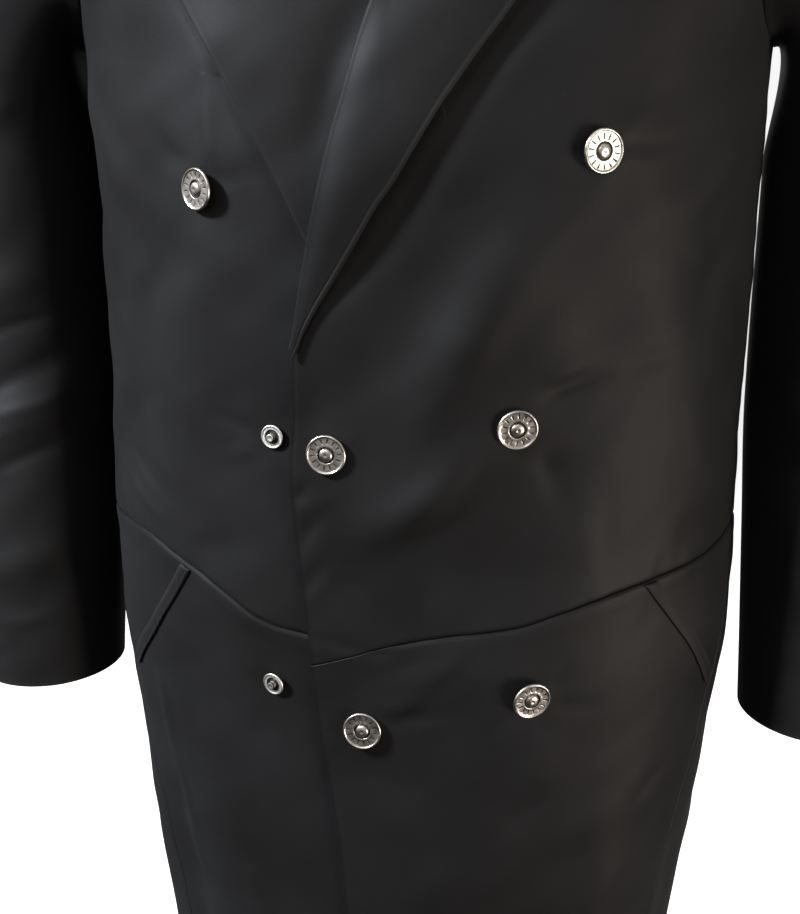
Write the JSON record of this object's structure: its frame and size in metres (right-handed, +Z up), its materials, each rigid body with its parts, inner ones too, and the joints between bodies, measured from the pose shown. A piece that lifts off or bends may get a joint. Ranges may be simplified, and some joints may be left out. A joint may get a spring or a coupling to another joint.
{
  "type": "trench coat",
  "caption": "Knee-length double-breasted coat with wide peak lapels, a waist seam, slanted welt pockets and metal snaps, hanging unfastened in its worn, hollow form.",
  "frame": {"origin": "middle of the neck opening, level with the side neck points where the coat hangs on the shoulders", "axes": "+Z up along the coat's length, the fronts face -Y, the wearer's left is +X"},
  "size_m": [0.6312, 0.2795, 1.0813],
  "materials": {
    "coat_cloth": "smooth tightly woven black cloth with a soft sheen",
    "snap_metal": "dark polished nickel, bright rim",
    "stud_metal": "polished nickel"
  },
  "bodies": {
    "root": {"left_front_upper": "coat_cloth", "right_front_upper": "coat_cloth", "left_front_skirt": "coat_cloth", "right_front_skirt": "coat_cloth", "back_upper": "coat_cloth", "back_skirt": "coat_cloth", "left_lapel": "coat_cloth", "right_lapel": "coat_cloth", "collar": "coat_cloth", "left_sleeve": "coat_cloth", "right_sleeve": "coat_cloth", "left_pocket_welt": "coat_cloth", "right_pocket_welt": "coat_cloth", "snap_cap_1": "snap_metal", "snap_cap_2": "snap_metal", "snap_cap_3": "snap_metal", "snap_cap_4": "snap_metal", "snap_cap_5": "snap_metal", "snap_cap_6": "snap_metal", "snap_stud_1": "stud_metal", "snap_stud_2": "stud_metal"}
  },
  "joints": []
}
